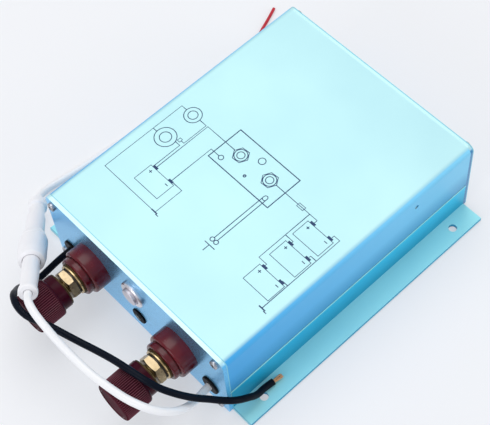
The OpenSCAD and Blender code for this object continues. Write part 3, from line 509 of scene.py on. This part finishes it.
# Cords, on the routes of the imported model

LEAD_IN = 5.0
GROUND_ROUTE = metres([
    (-59, -88.5, 15.2), (-59, -96.4, 15.2), (-59.8, -104.9, 13.2), (-60.2, -112.5, 11.1),
    (-59.9, -118.6, 10.8), (-59.6, -124, 12.8), (-58.4, -129, 17.4), (-55.4, -133.4, 24.4),
    (-50.2, -138, 33.1), (-46, -141, 39.1), (-41.7, -143.1, 42.1), (-36.8, -144.6, 43.4),
    (-31, -144.9, 43.8), (-25.4, -143.7, 43.6), (-20.4, -141.2, 43), (-14.2, -138.7, 41.9),
    (-6.9, -136.1, 40.5), (1.6, -133.2, 39.5), (13.9, -129.6, 40.2), (26, -127, 42.2),
    (36, -125.2, 43), (44, -123.2, 42.2), (50.5, -120.4, 39.2), (55.8, -116.6, 35.6),
    (60.2, -112.4, 31.8), (64.4, -107.7, 28.2), (68.6, -102.3, 24.9), (72.6, -97.5, 22.2),
    (76.4, -91.8, 19.4), (78.2, -85, 14.8), (78.2, -78.4, 8.6), (77, -72, 5), (77.4, -66, 4.6)])
INNER_ROUTE = metres([
    (59, -88.5, 15.2), (59, -97, 15.2), (59.8, -102.5, 15.9), (61.1, -107.1, 18.3),
    (62.8, -112.6, 23.2), (63.5, -117.3, 27.7), (63.5, -121.6, 32.2), (62.3, -125.6, 36.4),
    (60, -129.4, 40), (56.4, -132.6, 42.3), (51.8, -134.9, 43.1), (44.8, -137.3, 43.4),
    (37.4, -138.9, 43.3), (29, -140.2, 43), (20.6, -141.3, 42.8), (11.8, -141.9, 43.4),
    (4, -142.3, 44.7), (-3.5, -142.6, 46.7), (-11, -142.6, 49.2), (-18, -142.4, 51.2),
    (-24.6, -141.6, 52.4), (-30.4, -139.9, 51.9), on_connector(0), on_connector(LEAD_IN)])
OUTER_ROUTE = metres([
    on_connector(CONNECTOR_L - LEAD_IN), on_connector(CONNECTOR_L),
    (-104.8, -84.8, 6.1), (-107.2, -81.6, 4.3), (-108.5, -77.4, 3.1), (-108.5, -71, 2.4),
    (-107.2, -61, 2.3), (-105.7, -48, 2.3), (-104.5, -35, 2.3), (-102.9, -21, 2.3),
    (-100.6, -7, 2.3), (-98, 6, 2.3), (-96, 19, 2.3), (-95.2, 32, 2.3), (-95.3, 45, 2.3),
    (-96.1, 58, 2.3), (-97.3, 69, 2.3), (-98.6, 79, 2.3)])
RED_ROUTE = metres([
    (-98.9, 79.4, 3.3), (-100.4, 84.5, 1.9), (-102.8, 91, 1.1), (-106, 98.7, 1.1),
    (-109.3, 107.1, 1.1), (-113.1, 116, 1.1)])
BLACK_ROUTE = metres([
    (-98.2, 79.5, 1.1), (-96.8, 85, 1.1), (-94, 92, 1.1), (-90.9, 98.8, 1.1), (-87.4, 107.6, 1.1)])


def strands(name, end, heading, count, spread, length, wire_r, replaced):
    """Bare copper strands, slightly splayed, from the end of a cord."""
    side = heading.cross(Vector((0, 0, 1))).normalized()
    high = side.cross(heading)
    routes = []
    for k in range(count):
        off_axis = spread if k else 0
        angle = math.tau * k / (count - 1)
        foot = (side * math.cos(angle) + high * math.sin(angle)) * off_axis
        twist = (side * math.cos(angle + 0.9) + high * math.sin(angle + 0.9)) * off_axis
        tip = length * (0.94 + 0.06 * math.cos(5 * k))
        routes.append([end - heading * 0.002 + foot * 0.8, end + heading * length * 0.4 + twist,
                       end + heading * tip + twist * 1.15])
    return spline_piece(name, routes, wire_r, SLOTS["copper_strands"], replaced,
                        roundness=2)


WIRE_R, CABLE_R, CORE_R = 0.002, 0.00225, 0.001
WIRE_END = Vector((0.06, 1, -0.06)).normalized()

ground_wire = spline_piece("ground_wire_cord", [GROUND_ROUTE], WIRE_R, SHEATH_BLACK,
                           ["ground_wire"])
ground_end = strands("ground_wire_strands", GROUND_ROUTE[-1], WIRE_END, count=7, spread=0.0009,
                     length=0.0062, wire_r=0.00034, replaced=["ground_wire_end"])
inner_cable = spline_piece("switch_cable_front", [INNER_ROUTE], CABLE_R, SLOTS["cable_white"],
                           ["switch_cable_inner"])
outer_cable = spline_piece("switch_cable_rear", [OUTER_ROUTE], CABLE_R, SLOTS["cable_white"],
                           ["switch_cable_outer"])
red_core = spline_piece("red_core_cord", [RED_ROUTE], CORE_R, SLOTS["core_red"],
                        ["red_core"])
black_core = spline_piece("black_core_cord", [BLACK_ROUTE], CORE_R, SHEATH_BLACK,
                          ["black_core"])


# Connector in the switch cable

BARREL_R, MOUTH_BORE_R, COUPLING_BORE_R = 4.95, 2.45, 5.25
JOINT, JOINT_GAP, STOP_L, STOP_R = 41.0, 0.5, 3.0, 6.4
COUPLING_FROM, COUPLING_TO = 29.8, 57.9


def barrel(name, node, place, length, ring_r, ring_l, waist_r, swell_r, swell_l):
    """Half of the connector: soft end collar, waist, swelling barrel and hidden stop."""
    bm = turned(rounded([
        (MOUTH_BORE_R, 9), (MOUTH_BORE_R, 0, 0.4), (ring_r, 0, 1.1), (ring_r, ring_l, 0.8),
        (waist_r, ring_l + 0.9, 0.5), (waist_r, ring_l + 6, 4.0), (swell_r, ring_l + 13, 4.0),
        (swell_r, swell_l, 0.4), (BARREL_R, swell_l + 0.5, 0.2), (BARREL_R, length - STOP_L, 0.1),
        (STOP_R, length - STOP_L, 0.3), (STOP_R, length, 0.3), (0, length)]), 72)
    close_ends(bm)
    return finish_piece(name, bm, place, SLOTS["connector_white"],
                        replaced=[node])


front_barrel = barrel("connector_front_barrel", "connector_socket", along_connector(),
                      length=JOINT - JOINT_GAP / 2, ring_r=5.5, ring_l=2.8, waist_r=4.8,
                      swell_r=4.98, swell_l=COUPLING_FROM - 1.2)
from_tail = (along_connector() @ Matrix.Translation((0, 0, CONNECTOR_L))
             @ Matrix.Rotation(math.pi, 4, "X"))
rear_barrel = barrel("connector_rear_barrel", "connector_plug", from_tail,
                     length=CONNECTOR_L - JOINT - JOINT_GAP / 2, ring_r=5.6, ring_l=5.6,
                     waist_r=4.5, swell_r=5.4, swell_l=CONNECTOR_L - COUPLING_TO - 0.9)
coupling_profile = rounded([
    (COUPLING_BORE_R, COUPLING_FROM), (5.6, COUPLING_FROM, 0.2), (7.5, COUPLING_FROM + 0.6, 0.9),
    (8.15, 35, 1.2), (8.15, 49.1, 0.2), (7.8, 49.4, 0.1), (7.8, 49.8, 0.1), (8.1, 50.2, 0.3),
    (6.0, COUPLING_TO - 0.3, 0.5), (5.5, COUPLING_TO, 0.2), (COUPLING_BORE_R, COUPLING_TO, 0.1),
    (COUPLING_BORE_R, 44.8, 0.05), (6.7, 44.8, 0.05), (6.7, 37.2, 0.05),
    (COUPLING_BORE_R, 37.2, 0.05), (COUPLING_BORE_R, COUPLING_FROM)])
coupling = finish_piece("connector_coupling", turned(coupling_profile), along_connector(),
                        SLOTS["connector_white"], "coupling",
                        ["connector_ring"])


# Terminals

FLUTES, FLUTE_STEPS, FLUTE_DEPTH, FLUTE_WIDENING = 60, 8, 0.62, 0.6


def threaded_rod(start, end, radius, pitch, depth, segments=40):
    """Rod with a helical thread, cut square at both ends."""
    bm = bmesh.new()
    crest = pitch * 0.12
    points = []
    height = start - 2 * pitch
    while height < end + 2 * pitch:
        points += [(radius - depth, height - crest), (radius - depth, height + crest),
                   (radius, height + pitch / 2 - crest), (radius, height + pitch / 2 + crest)]
        height += pitch
    verts = [bm.verts.new((r, 0, h)) for r, h in points]
    edges = [bm.edges.new(pair) for pair in zip(verts, verts[1:])]
    bmesh.ops.spin(bm, geom=verts + edges, cent=(0, 0, 0), axis=(0, 0, 1),
                   dvec=(0, 0, pitch / segments), angle=math.tau, steps=segments,
                   use_merge=False, use_duplicate=False)
    bmesh.ops.remove_doubles(bm, verts=bm.verts, dist=1e-4)
    for height, normal in ((start, -1), (end, 1)):
        bmesh.ops.bisect_plane(bm, geom=bm.verts[:] + bm.edges[:] + bm.faces[:], dist=1e-6,
                               plane_co=(0, 0, height), plane_no=(0, 0, normal), clear_outer=True)
    close_ends(bm)
    return bm


def next_ring(bm, edges):
    """Extrudes a ring of edges, and gives its new vertices and edges."""
    made = bmesh.ops.extrude_edge_only(bm, edges=edges)["geom"]
    verts = [g for g in made if isinstance(g, bmesh.types.BMVert)]
    fresh = set(verts)
    rim = [g for g in made if isinstance(g, bmesh.types.BMEdge) and fresh.issuperset(g.verts)]
    return verts, rim


def fluted_cap():
    """Cap with a smooth neck, a rounded shoulder and straight flutes, bored for its insert.

    Each row of its profile gives a radius, a height and a share of the flutes' depth."""
    rows = [(5.2, 44.5, 0), (5.2, 38.0, 0), (7.5, 38.0, 0), (7.5, 24.5, 0),
            (10.35, 24.5, 0), (10.4, 24.7, 0), (10.4, 29.4, 0), (10.5, 29.66, 0)]
    shoulder_r, grip_r, foot = 1.5, 12.1, 29.7
    for k in range(6):
        a = math.pi / 2 * k / 5
        rows.append((grip_r - shoulder_r + shoulder_r * math.sin(a),
                     foot + shoulder_r * (1 - math.cos(a)), 0.0))
    rows += [(grip_r, 31.45, 0.15), (grip_r, 31.75, 0.7), (grip_r, 32.2, 1), (grip_r, 46.2, 1),
             (grip_r - 0.05, 46.6, 0.9), (grip_r - 0.3, 47.0, 0.7), (grip_r - 0.8, 47.35, 0.3),
             (grip_r - 1.4, 47.5, 0), (9.2, 47.5, 0), (8.9, 47.2, 0), (0.6, 47.1, 0)]
    bm = bmesh.new()
    ring = bmesh.ops.create_circle(bm, segments=FLUTES * FLUTE_STEPS, radius=1)["verts"]
    edges = bm.edges[:]
    order = sorted(ring, key=lambda v: math.atan2(v.co.y, v.co.x))
    angles = [math.atan2(v.co.y, v.co.x) for v in order]

    def shape(verts, radius, height, flute):
        for vert, angle in zip(verts, angles):
            wave = (1 - math.cos(angle * FLUTES)) / 2
            r = radius - FLUTE_DEPTH * flute * wave ** FLUTE_WIDENING
            vert.co = (r * math.cos(angle), r * math.sin(angle), height)

    for k, (radius, height, flute) in enumerate(rows):
        if k:
            verts, edges = next_ring(bm, edges)
            above = {edge.other_vert(vert): vert for vert in verts for edge in vert.link_edges}
            order = [above[vert] for vert in order]
        shape(order, radius, height, flute)
    close_ends(bm)
    return bm


for side, x in TERMINAL_X.items():
    stud = threaded_rod(start=-20, end=42, radius=5.0, pitch=1.5, depth=0.85)
    finish_piece(f"{side}_threaded_stud", stud, on_panel(x, TERMINAL_Z), SLOTS["stud_brass"],
                 replaced=[f"{side}_stud"], sharp=24)
    finish_piece(f"{side}_fluted_cap", fluted_cap(), on_panel(x, TERMINAL_Z), CAP_RED,
                 f"{side}_cap_grip", [f"{side}_cap"], sharp=40)


# Push button and springs

bezel_profile = rounded([
    (5.55, 1.8), (5.85, 2.2, 0.15), (8.0, 2.2, 0.35), (8.5, 1.4, 0.25), (8.5, 0, 0.05), (7.9, 0),
    (7.9, -24), (2.8, -24), (2.8, -22), (6.6, -22), (6.6, -2.6), (5.55, -2.6)])
finish_piece("button_bezel", turned(bezel_profile, closed=True), on_panel(0, BUTTON_Z),
             SLOTS["button_chrome"], replaced=["button_housing"])


def coil(radius, wire_r, length, turns, sides=10, steps=28):
    """Compression spring along Z, with its turns closer at both ends."""
    bm = bmesh.new()
    count = turns * steps
    shares = [k / count for k in range(count + 1)]
    heights = [(length - 2 * wire_r) * (share - 0.5 * math.sin(math.tau * share) / math.tau)
               for share in shares]
    verts = bmesh.ops.create_circle(bm, segments=sides, radius=wire_r)["verts"]
    bmesh.ops.rotate(bm, verts=verts, matrix=Matrix.Rotation(math.pi / 2, 3, "X")
                     @ Matrix.Rotation(math.pi / 2, 3, "Z"))
    bmesh.ops.translate(bm, verts=verts, vec=(radius, 0, wire_r))
    edges = bm.edges[:]
    for below, height in zip(heights, heights[1:]):
        verts, edges = next_ring(bm, edges)
        bmesh.ops.rotate(bm, verts=verts, matrix=Matrix.Rotation(math.tau / steps, 3, "Z"))
        bmesh.ops.translate(bm, verts=verts, vec=(0, 0, height - below))
    close_ends(bm)
    return bm


button_spring = finish_piece("button_coil", coil(radius=4.2, wire_r=0.3, length=17.5, turns=6),
                             on_panel(0, BUTTON_Z) @ Matrix.Translation((0, 0, -21.85)),
                             SLOTS["spring_steel"], replaced=["button_spring"])
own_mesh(button_spring)
return_spring = finish_piece("return_coil", coil(radius=4.9, wire_r=0.45, length=12, turns=5),
                             Matrix.Translation((0, 8.15, TERMINAL_Z))
                             @ Matrix.Rotation(-math.pi / 2, 4, "X"),
                             SLOTS["spring_steel"], replaced=["return_spring"])
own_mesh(return_spring)


# Wiring drawing printed on the top

THIN, BOLD = 0.52, 0.9
RIBBON_FLATNESS, BLOCK_H = 0.3, 0.12


def circle(cx, cy, r, steps=40, turn=0.0):
    """Points round a circle, or the corners of a polygon where the steps are few."""
    angles = [math.tau * k / steps + math.radians(turn) for k in range(steps)]
    return [(cx + r * math.cos(angle), cy + r * math.sin(angle)) for angle in angles]


def rectangle(x0, y0, x1, y1):
    return [(x0, y0), (x1, y0), (x1, y1), (x0, y1)]


closed_lines, open_lines, blocks = [], [], []
for nut_x in (-14.9, 8.2):
    closed_lines += [circle(nut_x, 0, 3.9), circle(nut_x, 0, 2.3), circle(nut_x, 0, 5.0, 6, 5)]
closed_lines += [
    circle(-3.7, 5.6, 2.15), circle(-21.7, -8.8, 1.5), circle(-3.6, -7.8, 0.8, 20),
    circle(13.5, -47.2, 1.3, 24), circle(16.4, -47.2, 1.3, 24), circle(-54.1, -0.6, 5.3),
    circle(-54.1, -0.6, 2.9), circle(-53.9, -21.5, 6.5), circle(-53.9, -21.5, 3.5),
    rectangle(-47.6, -18.2, -45.7, -16.0), rectangle(30.2, -0.9, 34.8, 1.5)]
open_lines += [
    [(-42.2, -38.6), (-42.2, 0), (-19.9, 0)],
    [(-48.9, -0.2), (-43.4, -0.2), (-43.4, -17), (-45.7, -17)],
    [(-47.7, -19.6), (-44, -19.6), (-44, -38.6)], [(-23.4, -8.8), (-29.7, -8.8), (-29.7, -38.4)],
    [(-59.3, -0.7), (-63.4, -0.7), (-63.4, -58), (-20.9, -58), (-20.9, -38.6), (-27.8, -38.6)],
    [(-60.4, -22.4), (-63.4, -22.4)], [(13.2, 0.3), (44.8, 0.3), (44.8, -2.2)],
    [(39.1, 0.3), (39.1, -37.2), (45, -37.2), (45, -38.8)],
    [(39.1, -17.8), (45, -17.8), (45, -19.2)],
    [(57.9, -1.6), (57.9, 0), (62.1, 0), (62.1, -56.8)],
    [(57.9, -18.4), (57.9, -17.4), (62.1, -17.4)],
    [(58.2, -38.3), (62.1, -38.3)], [(11.4, -50.8), (19.1, -50.8)], [(14.9, -50.8), (14.9, -55.5)],
    [(-4.2, -8.4), (-3.0, -7.2)],
    [(13.6, -45.9)] + circle(14.85, -9.3, 1.25, 24)[12::-1] + [(16.1, -45.9)],
    [(13.6, -10.6), (14.2, -11.2), (15.5, -11.2), (16.1, -10.6)]]
for x0, y0, x1, y1 in ((-45.6, -51.7, -26.6, -39.5), (41.4, -14.7, 60.6, -3.3),
                       (41.8, -32.1, 61.0, -20.2), (42.4, -51.7, 61.3, -39.8)):
    closed_lines.append(rectangle(x0, y0, x1, y1))
    plus_x, minus_x = x0 + 3.1, x1 - 3.1
    blocks += [(plus_x, y1 + 0.7, 3.5, 1.5), (minus_x, y1 + 0.7, 3.5, 1.5)]
    open_lines += [[(plus_x - 1, y1 - 3), (plus_x + 1, y1 - 3)],
                   [(plus_x, y1 - 4), (plus_x, y1 - 2)],
                   [(minus_x - 1.1, y1 - 2.6), (minus_x + 1.1, y1 - 2.6)]]
for mark_x, mark_y in ((-20.9, -58), (62.8, -56.8)):
    blocks.append((mark_x - 0.6, mark_y, 4.6, 0.75))
    open_lines.append([(mark_x + 1, mark_y - 0.7), (mark_x + 3.2, mark_y - 0.7)])
device_box = rectangle(-27.5, -13, 20.1, 11.6)


def printed_lines(bm, lines, width, closed):
    """Adds flattened ribbons along lines of points on the top of the housing."""
    data = bpy.data.curves.new("ribbon", "CURVE")
    data.dimensions = "3D"
    data.bevel_depth = width / 2
    data.bevel_resolution = 0
    for line in lines:
        spline = data.splines.new("POLY")
        spline.points.add(len(line) - 1)
        for point, (x, y) in zip(spline.points, line):
            point.co = (x, y, 0, 1)
        spline.use_cyclic_u = closed
    data.use_fill_caps = True
    helper = bpy.data.objects.new("ribbon", data)
    SCENE.collection.objects.link(helper)
    bpy.context.view_layer.update()
    graph = bpy.context.evaluated_depsgraph_get()
    mesh = bpy.data.meshes.new_from_object(helper.evaluated_get(graph))
    bpy.data.objects.remove(helper)
    part = bmesh.new()
    part.from_mesh(mesh)
    bmesh.ops.transform(part, matrix=Matrix.Scale(RIBBON_FLATNESS, 4, (0, 0, 1)),
                        verts=part.verts)
    part.to_mesh(mesh)
    part.free()
    bm.from_mesh(mesh)
    bpy.data.meshes.remove(mesh)


drawing = bmesh.new()
printed_lines(drawing, closed_lines, THIN, True)
printed_lines(drawing, open_lines, THIN, False)
printed_lines(drawing, [device_box], BOLD, True)
for x, y, w, h in blocks:
    bmesh.ops.create_cube(drawing, size=1, matrix=Matrix.Translation((x, y, 0))
                          @ Matrix.Diagonal((w, h, BLOCK_H, 1)))
finish_piece("printed_drawing", drawing, Matrix.Translation((0, 0, TOP_Z)), INK,
             sharp=80)


# Softly rounded edges on the metal that keeps its CAD shape

def soften(names, width):
    """Joins the loose faces of CAD nodes and rounds their edges as they are drawn."""
    for name in names:
        node = frame["nodes"][name]
        weld = node.modifiers.new("joined_faces", "WELD")
        weld.merge_threshold = 1e-6
        bevel = node.modifiers.new("soft_edges", "BEVEL")
        bevel.width = width
        bevel.segments = 2
        bevel.limit_method = "ANGLE"
        bevel.angle_limit = math.radians(35)


soften(["left_post_nut", "right_post_nut", "left_flat_washer", "right_flat_washer",
        "left_cap_washer", "right_cap_washer"], 0.00015)
soften(["front_plate", "rear_plate"], 0.00028)


# Room, lights and floor

SEEN_BY = ["Is Camera Ray", "Is Glossy Ray", "Is Transmission Ray"]
FLOOR_GLOW = 0.45
SKY_LIGHT, SKY_EXTRA_SEEN = 0.62, 0.14

floor_finish = Finish("floor", 0.6)
floor_finish.set("Base Color", (0.86, 0.87, 0.9))
seen = sum(floor_finish.node("ShaderNodeLightPath", output=ray) for ray in SEEN_BY)
glow = floor_finish.node("ShaderNodeEmission", {}, {"Color": (0.97, 0.975, 1), "Strength": 1})
lit = Socket(floor_finish, floor_finish.shader.outputs[0])
floor_finish.plug(floor_finish.output.inputs[0], floor_finish.node(
    "ShaderNodeMixShader", {}, {0: seen * FLOOR_GLOW, 1: lit, 2: glow}))
floor_mesh = bmesh.new()
bmesh.ops.create_grid(floor_mesh, x_segments=1, y_segments=1, size=4)
floor_data = bpy.data.meshes.new("floor")
floor_mesh.to_mesh(floor_data)
floor_mesh.free()
floor_data.materials.append(floor_finish.material)
floor = bpy.data.objects.new("floor", floor_data)
floor.location.z = -0.0002
SCENE.collection.objects.link(floor)

world = bpy.data.worlds.new("studio")
world.use_nodes = True
SCENE.world = world
sky = world.node_tree.nodes["Background"]
sky.inputs[0].default_value = (0.95, 0.97, 1, 1)
sky_path = world.node_tree.nodes.new("ShaderNodeLightPath")
strength = world.node_tree.nodes.new("ShaderNodeMath")
strength.operation = "MULTIPLY_ADD"
strength.inputs[1].default_value = SKY_EXTRA_SEEN
strength.inputs[2].default_value = SKY_LIGHT
world.node_tree.links.new(sky_path.outputs["Is Camera Ray"], strength.inputs[0])
world.node_tree.links.new(strength.outputs[0], sky.inputs[1])


def area_light(name, place, target, size, power, colour):
    data = bpy.data.lights.new(name, "AREA")
    data.shape = "SQUARE"
    data.size = size
    data.energy = power
    data.color = colour
    light = bpy.data.objects.new(name, data)
    SCENE.collection.objects.link(light)
    light.matrix_world = Matrix.Translation(place) @ (
        Vector(place) - Vector(target)).to_track_quat("Z", "Y").to_matrix().to_4x4()


area_light("softbox", (-0.35, 0.15, 1.15), (0, 0, 0.03), size=0.9, power=4.9,
           colour=(1, 0.99, 0.97))
area_light("front_fill", (0.1, -1.1, 0.55), (0, -0.1, 0.03), size=0.6, power=3.0,
           colour=(0.95, 0.97, 1))
area_light("side_fill", (1.15, 0.55, 0.5), (0.05, 0.05, 0.03), size=0.7, power=2.6,
           colour=(0.97, 0.98, 1))

SCENE.view_settings.view_transform = "Standard"
